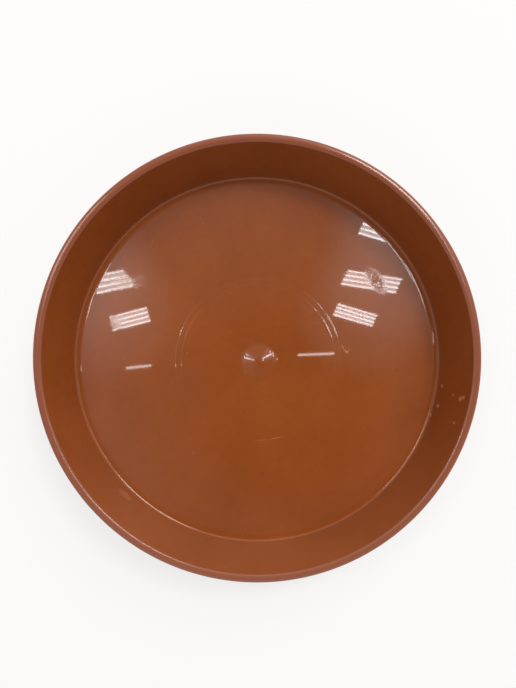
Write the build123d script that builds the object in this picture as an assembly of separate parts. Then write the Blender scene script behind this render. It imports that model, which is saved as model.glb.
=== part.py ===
# Plant saucer: a round open dish, moulded in one piece in terracotta-coloured polypropylene.
# One section through the shell is drawn on the XZ plane and turned about the upright axis.
# Millimetres, +Z up. The origin is on the axis, in the plane that the foot ring stands on.

from build123d import *
import math
import os

# Overall size
rim_diameter = 305.0        # across the lip
overall_height = 45.0       # from the standing plane to the crest of the lip

# Shell
wall_thickness = 2.0
floor_thickness = 2.2
wall_lean = 14.0            # degrees that the wall leans outwards from upright
corner_radius = 2.5         # inside, where the floor turns up into the wall

# Lip: a crowned bead that stands out all round the top of the wall
lip_width = 5.4
lip_depth = 5.0
lip_crown = 0.7             # crest above the lip's inner and outer edges

# Foot ring: keeps the floor and the gate mark clear of the table
foot_height = 2.0
foot_width = 3.0            # of its flat end
foot_draft = 12.0           # degrees, on both sides of the ring, so that it leaves the mould

# Floor: a flat seat for the pot round a slightly raised and bulged disc, and a margin that slopes up to the wall
margin_width = 3.8
margin_slope = 9.0          # degrees from level
disc_diameter = 126.0
disc_step = 0.3
disc_step_width = 4.2       # the step's sloping edge, seen from above
disc_bulge = 0.2

# Gate: a low cone with a round top at the middle, and a recess under it that holds the moulding pip
gate_diameter = 26.0
gate_slope = 8.5            # degrees, of the cone's side
gate_top_radius = 30.0      # rounding over the top of the cone
recess_diameter = 18.0
recess_depth = 1.0
recess_draft = 20.0         # degrees, on the recess's side
pip_diameter = 3.0
pip_height = 0.7

# Levels and radii that follow from the sizes above
lean = math.radians(wall_lean)
rim_radius = rim_diameter / 2
lip_inner_radius = rim_radius - lip_width
lip_edge_level = overall_height - lip_crown
lip_under_level = overall_height - lip_depth
floor_under_level = foot_height
seat_level = floor_under_level + floor_thickness
disc_level = seat_level + disc_step
outer_corner_radius = corner_radius + wall_thickness
disc_outer_radius = disc_diameter / 2
disc_inner_radius = disc_outer_radius - disc_step_width
gate_radius = gate_diameter / 2
pip_radius = pip_diameter / 2
recess_level = floor_under_level + recess_depth
recess_radius = recess_diameter / 2
recess_end_radius = recess_radius - recess_depth * math.tan(math.radians(recess_draft))


def inner_wall_radius(level):
    return lip_inner_radius - (lip_edge_level - level) * math.tan(lean)


def outer_wall_radius(level):
    return inner_wall_radius(level) + wall_thickness / math.cos(lean)


def cap_height(distance, half_width, rise):
    # Height of a round cap above its edge, at a distance from its middle
    cap_radius = (half_width ** 2 + rise ** 2) / (2 * rise)
    return math.sqrt(cap_radius ** 2 - distance ** 2) - (cap_radius - rise)


def cap_arc(start, end, half_width, rise, edge_level):
    # Part of a round cap about the axis, between two distances from its middle
    points = []
    for distance in (start, (start + end) / 2, end):
        points.append((distance, edge_level + cap_height(distance, half_width, rise)))
    return ThreePointArc(*points)


def corner_run(radius, slope):
    # How far a rounding between a sloping face and the leaning wall reaches from their sharp corner
    return radius * math.tan((math.pi / 2 - lean - slope) / 2)


def corner_arc(corner, radius, slope):
    # The rounding itself, from the sloping face up into the wall
    run = corner_run(radius, slope)
    start = (corner[0] - run * math.cos(slope), corner[1] - run * math.sin(slope))
    end = (corner[0] + run * math.sin(lean), corner[1] + run * math.cos(lean))
    return TangentArc(start, end, tangent=(math.cos(slope), math.sin(slope)))


# Sharp corners between the floor and the wall, inside and outside
margin_angle = math.radians(margin_slope)
margin_level = seat_level + margin_width * math.tan(margin_angle)
inner_corner = (inner_wall_radius(margin_level), margin_level)
margin_start = (inner_corner[0] - margin_width, seat_level)
outer_corner = (outer_wall_radius(floor_under_level), floor_under_level)

# The foot ring starts where the rounded outer corner runs out on the underside
foot_taper = foot_height * math.tan(math.radians(foot_draft))
foot_outer_root = (outer_corner[0] - corner_run(outer_corner_radius, 0), floor_under_level)
foot_outer_edge = (foot_outer_root[0] - foot_taper, 0)
foot_inner_edge = (foot_outer_edge[0] - foot_width, 0)
foot_inner_root = (foot_inner_edge[0] - foot_taper, floor_under_level)

# Lip
lip_root = (outer_wall_radius(lip_under_level), lip_under_level)
lip_lower_edge = (rim_radius, lip_under_level)
lip_outer_edge = (rim_radius, lip_edge_level)
lip_inner_edge = (lip_inner_radius, lip_edge_level)

# Middle of the floor
gate_level = disc_level + cap_height(gate_radius, disc_inner_radius, disc_bulge)
gate_angle = math.radians(gate_slope)
gate_top_reach = gate_top_radius * math.sin(gate_angle)
gate_top_rise = gate_top_radius * (1 - math.cos(gate_angle))
gate_top_level = gate_level + (gate_radius - gate_top_reach) * math.tan(gate_angle)
pip_end_level = recess_level - pip_height


def underside():
    # From the pip on the axis, out of its recess and across to the foot ring
    return Polyline(
        (0, pip_end_level), (pip_radius, pip_end_level), (pip_radius, recess_level),
        (recess_end_radius, recess_level), (recess_radius, floor_under_level), foot_inner_root,
    )


def outside():
    # Round the foot ring, up the wall and round the outside of the lip
    foot = Polyline(foot_inner_root, foot_inner_edge, foot_outer_edge, foot_outer_root)
    corner = corner_arc(outer_corner, outer_corner_radius, 0)
    wall_and_lip = Polyline(corner @ 1, lip_root, lip_lower_edge, lip_outer_edge)
    return [foot, corner, wall_and_lip]


def lip_top():
    crest = (rim_radius - lip_width / 2, overall_height)
    return ThreePointArc(lip_outer_edge, crest, lip_inner_edge)


def inside():
    # Down the wall and the margin, across the seat, up the step, over the bulge and up the cone to its round top
    corner = corner_arc(inner_corner, corner_radius, margin_angle)
    wall = Line(lip_inner_edge, corner @ 1)
    seat = Polyline(corner @ 0, margin_start, (disc_outer_radius, seat_level), (disc_inner_radius, disc_level))
    bulge = cap_arc(disc_inner_radius, gate_radius, disc_inner_radius, disc_bulge, disc_level)
    cone = Line(bulge @ 1, (gate_top_reach, gate_top_level))
    top = cap_arc(gate_top_reach, 0, gate_top_reach, gate_top_rise, gate_top_level)
    return [wall, corner, seat, bulge, cone, top]


def shell_section():
    axis_line = Line((0, gate_top_level + gate_top_rise), (0, pip_end_level))
    return make_face([underside(), *outside(), lip_top(), *inside(), axis_line])


def saucer():
    shell = revolve(Plane.XZ * shell_section(), axis=Axis.Z)
    return shell.solid()


os.makedirs("parts", exist_ok=True)
export_step(saucer(), "parts/saucer.step")
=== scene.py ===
import bpy
import bmesh
import math
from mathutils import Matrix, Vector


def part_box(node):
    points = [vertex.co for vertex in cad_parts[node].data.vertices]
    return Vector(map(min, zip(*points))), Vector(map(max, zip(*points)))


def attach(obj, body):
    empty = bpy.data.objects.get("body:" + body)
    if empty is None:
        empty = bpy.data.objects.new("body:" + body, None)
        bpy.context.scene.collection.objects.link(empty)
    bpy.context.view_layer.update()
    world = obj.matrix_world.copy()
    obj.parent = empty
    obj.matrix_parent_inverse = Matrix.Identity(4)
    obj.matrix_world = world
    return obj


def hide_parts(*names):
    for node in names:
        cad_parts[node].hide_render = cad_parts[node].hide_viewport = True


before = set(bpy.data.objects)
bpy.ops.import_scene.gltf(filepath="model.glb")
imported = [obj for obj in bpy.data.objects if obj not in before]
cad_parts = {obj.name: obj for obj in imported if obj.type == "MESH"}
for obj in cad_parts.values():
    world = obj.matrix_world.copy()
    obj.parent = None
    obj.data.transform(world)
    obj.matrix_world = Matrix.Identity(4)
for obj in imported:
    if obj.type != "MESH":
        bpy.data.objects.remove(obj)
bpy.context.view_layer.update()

mm = 0.001              # sizes of the saucer are in millimetres, Blender works in metres


# colours are written as sRGB hex and turned to linear here
def linear(hexColour):
    channels = []
    for start in (1, 3, 5):
        value = int(hexColour[start:start + 2], 16) / 255
        channels.append(value / 12.92 if value <= 0.04045 else ((value + 0.055) / 1.055) ** 2.4)
    return (*channels, 1.0)


# adds a node, sets its properties, and fills or links its inputs
def addNode(tree, kind, settings=None, inputs=None):
    node = tree.nodes.new(kind)
    for name, value in (settings or {}).items():
        setattr(node, name, value)
    for name, value in (inputs or {}).items():
        if isinstance(value, bpy.types.NodeSocket):
            tree.links.new(value, node.inputs[name])
        else:
            node.inputs[name].default_value = value
    return node


# The saucer: one moulded shell. Half of its section is drawn as a wire, rounded and spun.
saucer = {
    "wall": 2.0,
    "floor": 2.2,
    "lean": 14.0,           # degrees from upright
    "corner": 2.5,          # inside rounding from floor to wall
    "margin": 3.8,          # outer band of the floor that slopes up to the wall
    "marginSlope": 9.0,     # degrees
    "lipWidth": 5.4,
    "lipDepth": 5.0,
    "lipCrown": 0.7,
    "footHeight": 2.0,
    "footWidth": 3.0,
    "footDraft": 12.0,      # degrees
    "disc": 126.8,          # across the raised middle of the floor, which ends in two fine edges
    "discEdge": 1.4,        # width of each fine edge
    "discEdgeSlope": 2.55,  # degrees where an edge is steepest
    "discBand": 3.0,        # between the two edges
    "discBandSlope": 0.70,  # degrees
    "discBulge": 0.2,
    "gate": 26.0,           # across the low cone at the middle
    "gateSlope": 8.5,       # degrees
    "gateTop": 30.0,        # radius over the top of the cone
    "recess": 18.0,         # under the cone
    "recessDepth": 1.0,
    "recessDraft": 20.0,    # degrees
    "pip": 3.0,
    "pipHeight": 0.7,
    "hold": 0.25,           # rings this close to a rounding keep the surface beside it true
    "turns": 320,           # copies round the axis
}

lowCorner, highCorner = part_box("saucer")
rimRadius = round((highCorner[0] - lowCorner[0]) / 2 / mm, 1)
topLevel = round(highCorner[2] / mm, 1)
leanAngle = math.radians(saucer["lean"])
lipEdgeLevel = topLevel - saucer["lipCrown"]
lipUnderLevel = topLevel - saucer["lipDepth"]
lipInnerRadius = rimRadius - saucer["lipWidth"]
underLevel = saucer["footHeight"]
seatLevel = underLevel + saucer["floor"]


def innerWall(level):
    return lipInnerRadius - (lipEdgeLevel - level) * math.tan(leanAngle)


def outerWall(level):
    return innerWall(level) + saucer["wall"] / math.cos(leanAngle)


# height of a round cap above its edge, at a distance from its middle
def capHeight(distance, halfWidth, rise):
    capRadius = (halfWidth ** 2 + rise ** 2) / (2 * rise)
    return math.sqrt(capRadius ** 2 - distance ** 2) - (capRadius - rise)


# how much of each side a rounding takes between a sloping face and the wall
def cornerRun(radius, slope):
    return radius * math.tan((math.pi / 2 - leanAngle - slope) / 2)


# points between two values, ends left out
def between(start, end, count):
    return [start + (end - start) * step / (count + 1) for step in range(1, count + 1)]


# a fine edge that eases in and out as it drops, with no corners to round off
def edgePoints(start, level, drop):
    points = []
    for share in [0.0] + between(0.0, 1.0, 9) + [1.0]:
        eased = share - math.sin(math.tau * share) / math.tau
        points.append((start + share * saucer["discEdge"], level - eased * drop, 0))
    return points


# each point of the section is its radius, its level and how much of its corner is rounded off
def insidePoints():
    discOuter = saucer["disc"] / 2
    discInner = discOuter - saucer["discBand"] - 2 * saucer["discEdge"]
    edgeDrop = saucer["discEdge"] * math.tan(math.radians(saucer["discEdgeSlope"])) / 2
    bandDrop = saucer["discBand"] * math.tan(math.radians(saucer["discBandSlope"]))
    discLevel = seatLevel + bandDrop + 2 * edgeDrop
    gateRadius = saucer["gate"] / 2
    gateLevel = discLevel + capHeight(gateRadius, discInner, saucer["discBulge"])
    gateAngle = math.radians(saucer["gateSlope"])
    topReach = saucer["gateTop"] * math.sin(gateAngle)
    coneLevel = gateLevel + (gateRadius - topReach) * math.tan(gateAngle)
    topRise = saucer["gateTop"] * (1 - math.cos(gateAngle))
    points = []
    for distance in [0.0] + between(0.0, topReach, 7) + [topReach]:
        points.append((distance, coneLevel + capHeight(distance, topReach, topRise), 0))
    points.append((gateRadius, gateLevel, 2.0))
    for distance in between(gateRadius + 2.0, discInner, 13):
        points.append((distance, discLevel + capHeight(distance, discInner, saucer["discBulge"]), 0))
    points += edgePoints(discInner, discLevel, edgeDrop)
    points += edgePoints(discOuter - saucer["discEdge"], seatLevel + edgeDrop, edgeDrop)
    marginAngle = math.radians(saucer["marginSlope"])
    marginLevel = seatLevel + saucer["margin"] * math.tan(marginAngle)
    cornerRadius = innerWall(marginLevel)
    marginStart = cornerRadius - saucer["margin"]
    for distance in between(discOuter, marginStart, 12):
        points.append((distance, seatLevel, 0))
    points.append((marginStart, seatLevel, 1.3))
    points.append((cornerRadius, marginLevel, cornerRun(saucer["corner"], marginAngle)))
    for level in between(10.0, lipEdgeLevel, 8):
        points.append((innerWall(level), level, 0))
    return points


def lipPoints():
    halfLip = saucer["lipWidth"] / 2
    points = [(lipInnerRadius, lipEdgeLevel, 0.5)]
    for distance in between(-halfLip, halfLip, 7):
        level = lipEdgeLevel + capHeight(distance, halfLip, saucer["lipCrown"])
        points.append((rimRadius - halfLip + distance, level, 0))
    points.append((rimRadius, lipEdgeLevel, 0.6))
    points.append((rimRadius, lipUnderLevel, 0.4))
    points.append((outerWall(lipUnderLevel), lipUnderLevel, 0.9))
    return points


def outsidePoints():
    points = []
    for level in between(lipUnderLevel, 9.0, 8):
        points.append((outerWall(level), level, 0))
    cornerRadius = outerWall(underLevel)
    run = cornerRun(saucer["corner"] + saucer["wall"], 0)
    taper = saucer["footHeight"] * math.tan(math.radians(saucer["footDraft"]))
    footRoot = cornerRadius - run
    points.append((cornerRadius, underLevel, run * 0.97))
    points.append((footRoot, underLevel, 0))
    points.append((footRoot - taper, 0, 0.4))
    points.append((footRoot - taper - saucer["footWidth"], 0, 0.4))
    points.append((footRoot - 2 * taper - saucer["footWidth"], underLevel, 0.6))
    return points


def underPoints():
    recessRadius = saucer["recess"] / 2
    recessLevel = underLevel + saucer["recessDepth"]
    recessEnd = recessRadius - saucer["recessDepth"] * math.tan(math.radians(saucer["recessDraft"]))
    pipRadius = saucer["pip"] / 2
    pipLevel = recessLevel - saucer["pipHeight"]
    points = []
    for distance in between(130.0, recessRadius, 16):
        points.append((distance, underLevel, 0))
    points.append((recessRadius, underLevel, 0.3))
    points.append((recessEnd, recessLevel, 0.3))
    points.append((pipRadius, recessLevel, 0.2))
    points.append((pipRadius, pipLevel, 0.15))
    points.append((pipRadius * 0.5, pipLevel + 0.12, 0.1))    # the pip's torn end
    points.append((0.0, pipLevel, 0))
    return points


# adds a point on each side of every rounding, where there is room, so the rounding starts at once
def heldSection(points):
    held = [points[0]]
    for last, point, following in zip(points, points[1:], points[2:] + [points[-1]]):
        radius, level, rounding = point
        reach = rounding + saucer["hold"]
        for other in (last, following):
            room = math.dist(other[:2], point[:2]) - other[2]
            if rounding > 0 and room > reach + saucer["hold"]:
                share = reach / math.dist(other[:2], point[:2])
                holder = (radius + (other[0] - radius) * share, level + (other[1] - level) * share, 0)
                held.append(holder)
            if other is last:
                held.append(point)
    return held


# selects only the vertex nearest to a point of the section
def pickVertex(piece, radius, level):
    shape = bmesh.from_edit_mesh(piece.data)
    nearest = min(shape.verts, key=lambda v: (v.co.x - radius * mm) ** 2 + (v.co.z - level * mm) ** 2)
    for vertex in shape.verts:
        vertex.select = vertex is nearest
    shape.select_flush_mode()
    bmesh.update_edit_mesh(piece.data)


def modelSaucer():
    section = heldSection(insidePoints() + lipPoints() + outsidePoints() + underPoints())
    bpy.ops.object.select_all(action="DESELECT")
    bpy.ops.mesh.primitive_plane_add(size=0.01, location=(0, 0, 0))
    piece = bpy.context.object
    piece.name = "saucerShell"
    bpy.ops.object.mode_set(mode="EDIT")
    bpy.ops.mesh.select_mode(type="VERT")
    bpy.ops.mesh.merge(type="CENTER")
    bpy.ops.transform.translate(value=(section[0][0] * mm, 0, section[0][1] * mm))
    for last, point in zip(section, section[1:]):
        step = ((point[0] - last[0]) * mm, 0, (point[1] - last[1]) * mm)
        bpy.ops.mesh.extrude_vertices_move(TRANSFORM_OT_translate={"value": step})
    for radius, level, rounding in section:
        if rounding > 0:
            pickVertex(piece, radius, level)
            segments = 12 if rounding > 1.42 else 6
            bpy.ops.mesh.bevel(offset=rounding * mm, segments=segments, affect="VERTICES")
    bpy.ops.mesh.select_all(action="SELECT")
    bpy.ops.mesh.spin(steps=saucer["turns"], angle=math.tau, center=(0, 0, 0), axis=(0, 0, 1))
    bpy.ops.mesh.select_all(action="SELECT")
    bpy.ops.mesh.remove_doubles(threshold=0.002 * mm)
    bpy.ops.mesh.normals_make_consistent(inside=False)
    bpy.ops.object.mode_set(mode="OBJECT")
    bpy.ops.object.shade_smooth()
    return piece


saucerShell = modelSaucer()
print("saucer modelled:", len(saucerShell.data.polygons), "faces")

# Moulded polypropylene, coloured through with a terracotta brown. The mould's floor was polished and its
# wall left satin, so the floor mirrors the lamps and the wall only glows softly.
polypropylene = {
    "deepColour": "#8A4519",
    "paleColour": "#964E21",
    # pale colour of real rubbing and scratches, and of the painted highlights on the tick dent and along the
    # ring's edge
    "rubbedAndPaintedGlintColour": "#B9795A",
    # pale colour for the grains of dust, and for the painted sheen on the near wall
    "dustAndPaintedSheenColour": "#C9A68C",
    "speckColour": "#D28C60",
    # greyer, pinker tone for the lip's top: painted sheen
    "paintedLipSheenColour": "#8E4E35",
    "ior": 1.49,
    "polish": 0.026,        # roughness of the floor
    "satin": 0.22,          # of the wall
    "gloss": 0.13,          # of the lip
    "coarse": 0.46,         # of the outside and the underside
    "polishReach": (137.3, 137.9),      # mm from the axis, where the polish fades out
}

# patterns in the plastic: mm across, and detail; the grain is drawn coarser than real, so that it shows
patterns = {
    "clouding": (70, 3),
    "mottle": (6, 2),
    "ripple": (30, 1),
    "lumps": (5, 2),
    "pits": (1.6, 2),
    "grain": (0.8, 1),
    "edges": (2.2, 2),
}

# Marks in mm: pitted and rubbed patches of the floor, scratches, a tick-shaped dent whose pale colour is a
# painted highlight, pale lines at the ring that are painted highlights, specks of dirt and a scuff
marks = {
    "pitted": [
        {"at": (-100, 60), "reach": (22, 15), "turn": 10},
        {"at": (88, 61), "reach": (15, 10), "turn": -61},
        {"at": (-108, 28), "reach": (9, 9), "turn": 0},
    ],
    "rubbed": [
        {"at": (89.0, 61.5), "reach": (15, 6.5), "turn": -61, "dull": 0.40},
        {"at": (-88, 61), "reach": (9, 11), "turn": -20, "dull": 0.10},
        {"at": (-108, 28), "reach": (5, 9), "turn": 5, "dull": 0.06},
    ],
    "scratches": [
        {"from": (79.4, 69.4), "to": (87.8, 53.6), "width": 0.6},
        {"from": (-103.6, 33.6), "to": (-103.1, 22.6), "width": 0.5},
        {"from": (-60, -70), "to": (-38, -92), "width": 0.35},
        {"from": (20, 84), "to": (47, 78), "width": 0.35},
        {"from": (36, -98), "to": (52, -64), "width": 0.3},
        {"from": (-20, 70), "to": (-44, 96), "width": 0.3},
    ],
    # a tick-shaped dent in the floor; its pale colour is a painted highlight
    "tickDentsAndPaintedGlints": [
        {"from": (63.2, 13.5), "to": (64.6, 8.9), "width": 0.6},
        {"from": (64.0, 10.4), "to": (68.4, 5.8), "width": 1.3},
        {"from": (67.4, 6.3), "to": (69.2, 10.4), "width": 0.6},
    ],
    # pale lines along the ring's edge: painted highlights
    "paintedRingGlints": [
        {"from": (-5.5, -59.9), "to": (9.5, -59.3), "width": 0.5},
        {"from": (5.0, -59.7), "to": (21.2, -56.3), "width": 0.6},
    ],
    "specks": [
        {"at": (137.7, -18.3, 11.3), "size": 1.7},
        {"at": (140.4, -24.2, 25.7), "size": 1.7},
        {"at": (142.1, -26.6, 34.2), "size": 2.5},
        {"at": (143.0, -25.4, 37.2), "size": 2.5},
        {"at": (134.8, -33.4, 11.3), "size": 2.0},
        {"at": (137.9, -43.9, 34.3), "size": 1.9},
        {"at": (131.4, -40.6, 6.1), "size": 1.4},
    ],
    "scuffs": [
        {"at": (-99.0, -98.5, 14.0), "reach": (9.5, 3.6, 6.0), "turn": -40},
    ],
}


# joins several values with one operation, two at a time
def joined(tree, operation, values):
    total = values[0]
    for value in values[1:]:
        total = addNode(tree, "ShaderNodeMath", {"operation": operation}, {0: total, 1: value}).outputs[0]
    return total


# a smooth spot round a place: 1 at its middle, 0 at its edge, stretched and turned as given
def spotMask(tree, place, middle, reach, turn=0.0):
    local = addNode(tree, "ShaderNodeMapping", {"vector_type": "TEXTURE"},
                    {"Vector": place, "Location": middle,
                     "Rotation": (0, 0, math.radians(turn)), "Scale": reach})
    distance = addNode(tree, "ShaderNodeVectorMath", {"operation": "LENGTH"}, {0: local.outputs[0]})
    spot = addNode(tree, "ShaderNodeMapRange", {"interpolation_type": "SMOOTHSTEP"},
                   {"Value": distance.outputs["Value"], "From Min": 0, "From Max": 1,
                    "To Min": 1, "To Max": 0})
    return spot.outputs[0]


# the patches of one list of floor marks, joined
def patchMask(tree, place, patches, strength=None):
    spots = []
    for patch in patches:
        spot = spotMask(tree, place, (*patch["at"], seatLevel), (*patch["reach"], 1.5), patch["turn"])
        spots.append(joined(tree, "MULTIPLY", [spot, patch[strength]]) if strength else spot)
    return joined(tree, "MAXIMUM", spots)


# lines on the floor from one point to another, thin at both ends
def lineMask(tree, place, lines):
    spots = []
    for line in lines:
        (startX, startY), (endX, endY) = line["from"], line["to"]
        middle = ((startX + endX) / 2, (startY + endY) / 2, seatLevel)
        halfLength = math.dist(line["from"], line["to"]) / 2
        turn = math.degrees(math.atan2(endY - startY, endX - startX))
        spots.append(spotMask(tree, place, middle, (halfLength, line["width"], 1.5), turn))
    return joined(tree, "MAXIMUM", spots)


def polypropyleneMaterial():
    material = bpy.data.materials.new("terracottaPolypropylene")
    material.use_nodes = True
    tree = material.node_tree
    tree.nodes.clear()
    coordinates = addNode(tree, "ShaderNodeTexCoord")
    place = addNode(tree, "ShaderNodeVectorMath", {"operation": "SCALE"},
                    {0: coordinates.outputs["Object"], "Scale": 1 / mm}).outputs[0]
    level = addNode(tree, "ShaderNodeSeparateXYZ", None, {0: place}).outputs["Z"]
    flat = addNode(tree, "ShaderNodeVectorMath", {"operation": "MULTIPLY"},
                   {0: place, 1: (1, 1, 0)}).outputs[0]
    radius = addNode(tree, "ShaderNodeVectorMath", {"operation": "LENGTH"}, {0: flat}).outputs["Value"]
    noise = {}
    for name, (size, detail) in patterns.items():
        noise[name] = addNode(tree, "ShaderNodeTexNoise", None,
                              {"Vector": place, "Scale": 1 / size, "Detail": detail, "Roughness": 0.5})

    # 1 on the polished floor, 0 on the wall, the lip and the outside
    floorReach = addNode(tree, "ShaderNodeMapRange", {"interpolation_type": "SMOOTHSTEP"},
                         {"Value": radius, "From Min": polypropylene["polishReach"][0],
                          "From Max": polypropylene["polishReach"][1], "To Min": 1, "To Max": 0})
    topSide = addNode(tree, "ShaderNodeMath", {"operation": "GREATER_THAN"},
                      {0: level, 1: underLevel + saucer["floor"] / 2})
    polished = joined(tree, "MULTIPLY", [floorReach.outputs[0], topSide.outputs[0]])

    # 1 outside and underneath: beyond the middle of the wall, or below the middle of the floor
    wallMiddle = joined(tree, "MULTIPLY", [level, math.tan(leanAngle)])
    wallMiddle = joined(tree, "ADD", [wallMiddle, innerWall(0) + saucer["wall"] / 2])
    beyondWall = joined(tree, "GREATER_THAN", [radius, wallMiddle])
    belowLip = joined(tree, "LESS_THAN", [level, lipEdgeLevel])
    beyondWall = joined(tree, "MULTIPLY", [beyondWall, belowLip])
    underside = joined(tree, "SUBTRACT", [1.0, topSide.outputs[0]])
    outside = joined(tree, "MAXIMUM", [beyondWall, underside])

    # the edges of the marks wander by about a millimetre
    wander = addNode(tree, "ShaderNodeVectorMath", {"operation": "MULTIPLY_ADD"},
                     {0: noise["edges"].outputs["Color"], 1: (2.4, 2.4, 2.4), 2: place})
    wandering = addNode(tree, "ShaderNodeVectorMath", {"operation": "SUBTRACT"},
                        {0: wander.outputs[0], 1: (1.2, 1.2, 1.2)}).outputs[0]
    pitted = patchMask(tree, wandering, marks["pitted"])
    crumbs = addNode(tree, "ShaderNodeMapRange", {"interpolation_type": "SMOOTHSTEP"},
                     {"Value": noise["pits"].outputs[0], "From Min": 0.34, "From Max": 0.50}).outputs[0]
    rubbed = joined(tree, "MULTIPLY", [patchMask(tree, wandering, marks["rubbed"], "dull"), crumbs])
    scratches = lineMask(tree, place, marks["scratches"])
    tickDentsAndPaintedGlints = lineMask(tree, place, marks["tickDentsAndPaintedGlints"])
    paintedRingGlints = lineMask(tree, place, marks["paintedRingGlints"])
    specks = joined(tree, "MAXIMUM", [spotMask(tree, wandering, speck["at"], (speck["size"],) * 3)
                                      for speck in marks["specks"]])
    scuffs = joined(tree, "MAXIMUM", [spotMask(tree, wandering, scuff["at"], scuff["reach"], scuff["turn"])
                                      for scuff in marks["scuffs"]])

    # colour: broad faint clouding, fine mottling, a painted sheen on the lip's top and on the near wall, then
    # the pale marks, some of them painted highlights
    tone = joined(tree, "ADD", [joined(tree, "MULTIPLY", [noise["clouding"].outputs[0], 0.75]),
                                joined(tree, "MULTIPLY", [noise["mottle"].outputs[0], 0.25])])
    tone = addNode(tree, "ShaderNodeMapRange", None, {"Value": tone, "From Min": 0.32, "From Max": 0.68})
    colour = addNode(tree, "ShaderNodeMix", {"data_type": "RGBA"},
                     {"Factor": tone.outputs[0], 6: linear(polypropylene["deepColour"]),
                      7: linear(polypropylene["paleColour"])}).outputs[2]
    # painted sheen: the top of the lip is tinted greyer and pinker, standing in for the lamps' sheen on its
    # crown
    paintedLipSheen = addNode(tree, "ShaderNodeMapRange", {"interpolation_type": "SMOOTHSTEP"},
                  {"Value": level, "From Min": lipEdgeLevel - 1.5, "From Max": lipEdgeLevel})
    colour = addNode(tree, "ShaderNodeMix", {"data_type": "RGBA"},
                     {"Factor": paintedLipSheen.outputs[0], 6: colour, 7: linear(polypropylene["paintedLipSheenColour"])}).outputs[2]
    # painted sheen: the wall on the viewer's side is paled a little towards the dust colour, standing in for
    # the haze of light it reflects
    onWall = joined(tree, "MULTIPLY", [joined(tree, "SUBTRACT", [1.0, polished]),
                                       joined(tree, "SUBTRACT", [1.0, outside])])
    nearSide = addNode(tree, "ShaderNodeMapRange", {"interpolation_type": "SMOOTHSTEP"},
                       {"Value": addNode(tree, "ShaderNodeSeparateXYZ", None, {0: place}).outputs["Y"],
                        "From Min": -20, "From Max": -135, "To Min": 0, "To Max": 0.05}).outputs[0]
    paintedNearWallSheen = joined(tree, "MULTIPLY", [onWall, nearSide])
    colour = addNode(tree, "ShaderNodeMix", {"data_type": "RGBA"},
                     {"Factor": paintedNearWallSheen, 6: colour, 7: linear(polypropylene["dustAndPaintedSheenColour"])}).outputs[2]
    footWear = addNode(tree, "ShaderNodeMapRange", {"interpolation_type": "SMOOTHSTEP"},
                       {"Value": level, "From Min": 0.0, "From Max": 0.35, "To Min": 0.5, "To Max": 0})
    footWear = joined(tree, "MULTIPLY", [footWear.outputs[0], noise["edges"].outputs[0]])
    # pale marks: real scuffs, scratches and wear at the foot, with painted highlights on the tick dent and
    # along the ring's edge
    pale = joined(tree, "MAXIMUM", [
        joined(tree, "MULTIPLY", [scuffs, 0.35]), joined(tree, "MULTIPLY", [tickDentsAndPaintedGlints, 0.9]),
        joined(tree, "MULTIPLY", [scratches, 0.15]), joined(tree, "MULTIPLY", [paintedRingGlints, 0.6]), footWear])
    colour = addNode(tree, "ShaderNodeMix", {"data_type": "RGBA"},
                     {"Factor": pale, 6: colour, 7: linear(polypropylene["rubbedAndPaintedGlintColour"])}).outputs[2]

    colour = addNode(tree, "ShaderNodeMix", {"data_type": "RGBA"},
                     {"Factor": joined(tree, "MULTIPLY", [specks, 0.95]), 6: colour,
                      7: linear(polypropylene["speckColour"])}).outputs[2]

    # a few grains of dust, under a millimetre, on the inside
    dust = addNode(tree, "ShaderNodeTexVoronoi", None, {"Vector": place, "Scale": 1 / 11})
    dots = addNode(tree, "ShaderNodeMapRange", {"interpolation_type": "SMOOTHSTEP"},
                   {"Value": dust.outputs["Distance"], "From Min": 0.02, "From Max": 0.045,
                    "To Min": 0.3, "To Max": 0})
    dots = joined(tree, "MULTIPLY", [dots.outputs[0], joined(tree, "SUBTRACT", [1.0, outside])])
    colour = addNode(tree, "ShaderNodeMix", {"data_type": "RGBA"},
                     {"Factor": dots, 6: colour, 7: linear(polypropylene["dustAndPaintedSheenColour"])}).outputs[2]

    # roughness: polished floor, satin wall, coarser outside, duller where it is rubbed
    onLip = addNode(tree, "ShaderNodeMapRange", {"interpolation_type": "SMOOTHSTEP"},
                    {"Value": level, "From Min": lipEdgeLevel - 1.0, "From Max": lipEdgeLevel,
                     "To Min": polypropylene["satin"], "To Max": polypropylene["gloss"]})
    roughness = addNode(tree, "ShaderNodeMapRange", None,
                        {"Value": polished, "To Min": onLip.outputs[0], "To Max": polypropylene["polish"]})
    roughness = addNode(tree, "ShaderNodeMapRange", None,
                        {"Value": outside, "To Min": roughness.outputs[0], "To Max": polypropylene["coarse"]})
    uneven = addNode(tree, "ShaderNodeMapRange", None,
                     {"Value": noise["mottle"].outputs[0], "From Min": 0.25, "From Max": 0.75,
                      "To Min": 0.88, "To Max": 1.12})
    roughness = joined(tree, "MULTIPLY", [roughness.outputs[0], uneven.outputs[0]])
    roughness = joined(tree, "ADD", [roughness, rubbed, joined(tree, "MULTIPLY", [scuffs, 0.15])])

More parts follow.
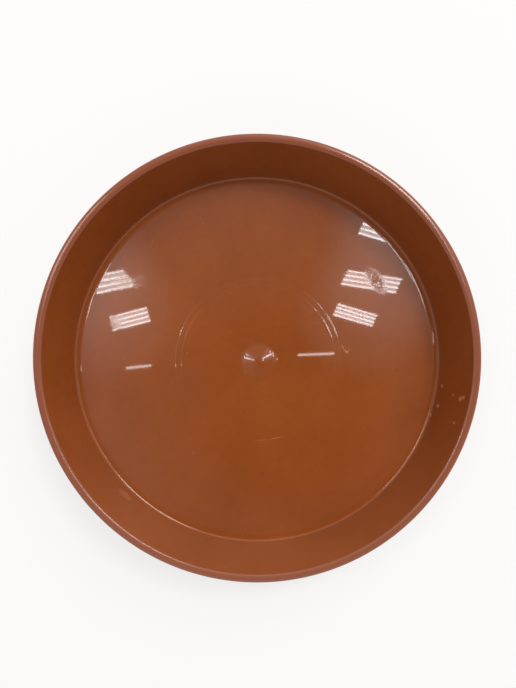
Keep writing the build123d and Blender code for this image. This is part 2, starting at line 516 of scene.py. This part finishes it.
    # relief in mm: the floor ripples a little, is lumpy at the gate, pitted in patches and scratched;
    # the rest is finely grained
    gateSpot = spotMask(tree, place, (0, 0, seatLevel), (18, 18, 18))
    unpolished = joined(tree, "SUBTRACT", [1.0, polished])
    grainDepth = joined(tree, "ADD", [joined(tree, "MULTIPLY", [unpolished, 0.003]),
                                      joined(tree, "MULTIPLY", [outside, 0.012])])
    relief = joined(tree, "ADD", [
        joined(tree, "MULTIPLY", [noise["ripple"].outputs[0], 0.004]),
        joined(tree, "MULTIPLY", [noise["lumps"].outputs[0], gateSpot, 0.05]),
        joined(tree, "MULTIPLY", [noise["pits"].outputs[0], pitted, 0.0055]),
        joined(tree, "MULTIPLY", [noise["grain"].outputs[0], grainDepth]),
        joined(tree, "MULTIPLY", [scratches, -0.004]),
        joined(tree, "MULTIPLY", [tickDentsAndPaintedGlints, -0.02]),
        joined(tree, "MULTIPLY", [specks, 0.15])])
    bump = addNode(tree, "ShaderNodeBump", None, {"Height": relief, "Distance": mm, "Strength": 1.0})

    shader = addNode(tree, "ShaderNodeBsdfPrincipled", None,
                     {"Base Color": colour, "Roughness": roughness, "IOR": polypropylene["ior"],
                      "Normal": bump.outputs[0]})
    addNode(tree, "ShaderNodeOutputMaterial", None, {"Surface": shader.outputs[0]})
    return material


saucerShell.data.materials.clear()
saucerShell.data.materials.append(polypropyleneMaterial())
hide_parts("saucer")
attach(saucerShell, "root")
print("saucer finished")

# Floor under the saucer: white to the eye, and it keeps the soft shadow
stageFloor = {"size": 40.0, "colour": "#F4F4F2", "glow": 0.7, "fades": (0.5, 2.0)}    # all white 2 m off


def makeStage():
    bpy.ops.object.select_all(action="DESELECT")
    bpy.ops.mesh.primitive_plane_add(size=stageFloor["size"], location=(0, 0, 0))
    floor = bpy.context.object
    floor.name = "stageFloor"
    material = bpy.data.materials.new("paleStudioPaper")
    material.use_nodes = True
    tree = material.node_tree
    tree.nodes.clear()
    seen = addNode(tree, "ShaderNodeLightPath")
    shown = joined(tree, "MAXIMUM", [seen.outputs["Is Camera Ray"], seen.outputs["Is Glossy Ray"],
                                     seen.outputs["Is Transmission Ray"]])
    place = addNode(tree, "ShaderNodeTexCoord").outputs["Object"]
    away = addNode(tree, "ShaderNodeVectorMath", {"operation": "LENGTH"}, {0: place}).outputs["Value"]
    white = addNode(tree, "ShaderNodeMapRange", {"interpolation_type": "SMOOTHSTEP"},
                    {"Value": away, "From Min": stageFloor["fades"][0], "From Max": stageFloor["fades"][1],
                     "To Min": stageFloor["glow"], "To Max": 1.0}).outputs[0]
    share = joined(tree, "MULTIPLY", [shown, white])
    paper = addNode(tree, "ShaderNodeBsdfDiffuse", None, {"Color": linear(stageFloor["colour"])})
    glow = addNode(tree, "ShaderNodeEmission", None, {"Color": (1, 1, 1, 1), "Strength": 1.0})
    mixed = addNode(tree, "ShaderNodeMixShader", None, {0: share, 1: paper.outputs[0], 2: glow.outputs[0]})
    addNode(tree, "ShaderNodeOutputMaterial", None, {"Surface": mixed.outputs[0]})
    floor.data.materials.append(material)


makeStage()

# Strip lamps overhead, in banks of parallel tubes over a bright tray, which the polished floor mirrors.
# Each tube of a bank is shifted along by its stagger.
stripLamps = {
    "height": 2.2,
    "tubeWidth": 0.0075,
    "trayShare": 0.28,      # how bright the tray is beside the tubes
    "banks": [
        {"x": -0.688, "y": 0.408, "length": 0.201, "tubes": 4, "spacing": 0.0275, "turn": 12,
         "stagger": -0.0165, "radiance": 17},
        {"x": -0.592, "y": 0.225, "length": 0.190, "tubes": 4, "spacing": 0.0215, "turn": 14.4,
         "stagger": 0.0, "radiance": 17},
        {"x": -0.551, "y": -0.011, "length": 0.124, "tubes": 1, "spacing": 0, "turn": 6.2,
         "stagger": 0, "tubeWidth": 0.0125, "radiance": 8},
        {"x": 0.651, "y": 0.664, "length": 0.190, "tubes": 4, "spacing": 0.0245, "turn": -16,
         "stagger": 0.003, "radiance": 18},
        {"x": 0.612, "y": 0.415, "length": 0.278, "tubes": 4, "spacing": 0.023, "turn": -8.8,
         "stagger": 0.007, "radiance": 17},
        {"x": 0.530, "y": 0.248, "length": 0.205, "tubes": 4, "spacing": 0.0186, "turn": -16,
         "stagger": 0.0025, "radiance": 17},
        {"x": 0.356, "y": 0.055, "length": 0.197, "tubes": 1, "spacing": 0, "turn": 2.4,
         "stagger": 0, "tubeWidth": 0.0110, "radiance": 9},
    ],
}


# a flat lamp facing down
def makeLamp(name, place, length, width, turn, radiance):
    light = bpy.data.lights.new(name, "AREA")
    light.shape = "RECTANGLE"
    light.size = length
    light.size_y = width
    light.energy = radiance * 4 * length * width
    lamp = bpy.data.objects.new(name, light)
    lamp.location = place
    lamp.rotation_euler = (0, 0, turn)
    bpy.context.collection.objects.link(lamp)


# the middle of a tube, or of the tray between two, counted from the middle of its bank
def placeInBank(bank, steps, height):
    turn = math.radians(bank["turn"])
    along, across = steps * bank["stagger"], steps * bank["spacing"]
    return (bank["x"] + along * math.cos(turn) - across * math.sin(turn),
            bank["y"] + along * math.sin(turn) + across * math.cos(turn), height)


def makeLamps():
    height = stripLamps["height"]
    for number, bank in enumerate(stripLamps["banks"]):
        turn = math.radians(bank["turn"])
        width = bank.get("tubeWidth", stripLamps["tubeWidth"])
        for tube in range(bank["tubes"]):
            steps = tube - (bank["tubes"] - 1) / 2
            place = placeInBank(bank, steps, height)
            makeLamp(f"tube{number}{tube}", place, bank["length"], width, turn, bank["radiance"])
            if tube + 1 < bank["tubes"]:
                place = placeInBank(bank, steps + 0.5, height + 0.01)
                makeLamp(f"tray{number}{tube}", place, bank["length"], bank["spacing"] - width, turn,
                         bank["radiance"] * stripLamps["trayShare"])


makeLamps()

# More rows of lamps further off, too low for the floor to mirror: they light the near wall, and the corner at
# its foot and the lip catch them as thin lines
farRows = [
    {"turn": 52, "rise": 57, "away": 2.4, "width": 0.64, "height": 0.56, "radiance": 12.5},
    {"turn": 145, "rise": 57, "away": 2.4, "width": 0.62, "height": 0.56, "radiance": 5.5},
]


def makeFarRows():
    for number, row in enumerate(farRows):
        turn, rise = math.radians(row["turn"]), math.radians(row["rise"])
        light = bpy.data.lights.new(f"farRow{number}", "AREA")
        light.shape = "RECTANGLE"
        light.size = row["width"]
        light.size_y = row["height"]
        light.energy = row["radiance"] * 4 * row["width"] * row["height"]
        light.color = (1.0, 0.92, 0.84)
        holder = bpy.data.objects.new(f"farRow{number}", light)
        level = row["away"] * math.cos(rise)
        holder.location = (level * math.cos(turn), level * math.sin(turn), row["away"] * math.sin(rise))
        holder.rotation_euler = (math.pi / 2 - rise, 0, turn + math.pi / 2)
        bpy.context.collection.objects.link(holder)


makeFarRows()

# Soft studio light: dim straight overhead, bright round that, and dim again low down, a little less so on the
# far side and the viewer's side
sky = {
    "towards": (0.17, 0.985, 0.0),
    "darkest": (0.07, -0.12, 0.990),
    "high": 1.35,
    "near": 1.3,                # more of it high up on the viewer's side
    "low": 0.32,
    "lobes": [
        {"towards": (0.47, 0.883, 0.0), "strength": 1.40},
        {"towards": (-0.208, -0.978, 0.0), "strength": 0.50},
    ],
    "brightens": (1.003, 0.80),  # cosine of the angle from the darkest direction
    "lowers": (0.96, 0.915),    # height of the direction, 1 is straight up
    "lobesStart": (0.93, 0.78),
    "glow": 0.62,               # lit ceiling round each bank of lamps
    "glowReach": 8.4,           # degrees
    "whiteBelow": (0.62, 0.52), # height of the direction, below which the eye sees a white backdrop
}


def makeSky():
    world = bpy.data.worlds.new("studioSky")
    bpy.context.scene.world = world
    world.use_nodes = True
    tree = world.node_tree
    tree.nodes.clear()
    direction = addNode(tree, "ShaderNodeTexCoord").outputs["Generated"]
    height = addNode(tree, "ShaderNodeSeparateXYZ", None, {0: direction}).outputs["Z"]
    level = addNode(tree, "ShaderNodeVectorMath", {"operation": "MULTIPLY"}, {0: direction, 1: (1, 1, 0)})
    side = addNode(tree, "ShaderNodeVectorMath", {"operation": "NORMALIZE"}, {0: level.outputs[0]}).outputs[0]
    facing = addNode(tree, "ShaderNodeVectorMath", {"operation": "DOT_PRODUCT"}, {0: side, 1: sky["towards"]})
    nearShare = addNode(tree, "ShaderNodeMapRange", None,
                        {"Value": facing.outputs["Value"], "From Min": 1, "From Max": -1}).outputs[0]
    nearPart = joined(tree, "MULTIPLY", [nearShare, nearShare, sky["near"]])
    highPart = joined(tree, "ADD", [nearPart, sky["high"]])
    lowPart = sky["low"]
    below = addNode(tree, "ShaderNodeMapRange", None,
                    {"Value": height, "From Min": sky["lobesStart"][0],
                     "From Max": sky["lobesStart"][1]}).outputs[0]
    for lobe in sky["lobes"]:
        facing = addNode(tree, "ShaderNodeVectorMath", {"operation": "DOT_PRODUCT"},
                         {0: side, 1: lobe["towards"]})
        share = addNode(tree, "ShaderNodeMath", {"operation": "MAXIMUM"},
                        {0: facing.outputs["Value"], 1: 0.0})
        share = share.outputs[0]
        lobePart = joined(tree, "MULTIPLY", [share, share, share, below, lobe["strength"]])
        lowPart = joined(tree, "ADD", [lobePart, lowPart])
    strength = addNode(tree, "ShaderNodeMapRange", None,
                       {"Value": height, "From Min": sky["lowers"][0], "From Max": sky["lowers"][1],
                        "To Min": highPart, "To Max": lowPart})
    fromDarkest = addNode(tree, "ShaderNodeVectorMath", {"operation": "DOT_PRODUCT"},
                          {0: direction, 1: sky["darkest"]})
    opening = addNode(tree, "ShaderNodeMapRange", None,
                      {"Value": fromDarkest.outputs["Value"], "From Min": sky["brightens"][0],
                       "From Max": sky["brightens"][1]})
    strength = joined(tree, "MULTIPLY", [strength.outputs[0], opening.outputs[0]])
    for bank in [bank for bank in stripLamps["banks"] if bank["tubes"] > 1]:
        towardsLamp = (bank["x"], bank["y"], stripLamps["height"])
        away = math.hypot(*towardsLamp)
        near = addNode(tree, "ShaderNodeVectorMath", {"operation": "DOT_PRODUCT"},
                       {0: direction, 1: [value / away for value in towardsLamp]})
        glow = addNode(tree, "ShaderNodeMapRange", {"interpolation_type": "SMOOTHSTEP"},
                       {"Value": near.outputs["Value"], "From Min": math.cos(math.radians(sky["glowReach"])),
                        "From Max": 1.0, "To Min": 0, "To Max": sky["glow"]})
        strength = joined(tree, "ADD", [strength, glow.outputs[0]])
    seen = addNode(tree, "ShaderNodeLightPath")
    shown = joined(tree, "MAXIMUM", [seen.outputs["Is Camera Ray"], seen.outputs["Is Glossy Ray"],
                                     seen.outputs["Is Transmission Ray"]])
    backdrop = addNode(tree, "ShaderNodeMapRange", None,
                       {"Value": height, "From Min": sky["whiteBelow"][0], "From Max": sky["whiteBelow"][1]})
    share = joined(tree, "MULTIPLY", [shown, backdrop.outputs[0]])
    strength = addNode(tree, "ShaderNodeMapRange", None,
                       {"Value": share, "To Min": strength, "To Max": 1.0}).outputs[0]
    light = addNode(tree, "ShaderNodeBackground", None, {"Color": (1, 1, 1, 1), "Strength": strength})
    addNode(tree, "ShaderNodeOutputWorld", None, {"Surface": light.outputs[0]})


makeSky()

print("stage and light ready")

# Camera: straight above the saucer, shifted so that the saucer sits in the middle of the picture
camera = {
    "place": (-0.00822, -0.00259, 0.39566),
    "tip": -1.878,      # degrees towards the far side
    "swing": -1.688,    # degrees towards the right
    "shift": (-0.0074, 0.0553),
    "lens": 27.05,
}


def makeCamera():
    view = bpy.data.cameras.new("viewAbove")
    view.lens = camera["lens"]
    view.sensor_width = 36.0
    view.shift_x, view.shift_y = camera["shift"]
    view.clip_start = 0.01
    holder = bpy.data.objects.new("viewAbove", view)
    holder.location = camera["place"]
    holder.rotation_euler = (math.radians(camera["tip"]), math.radians(camera["swing"]), 0)
    bpy.context.collection.objects.link(holder)
    bpy.context.scene.camera = holder


makeCamera()
bpy.context.scene.view_settings.view_transform = "Standard"
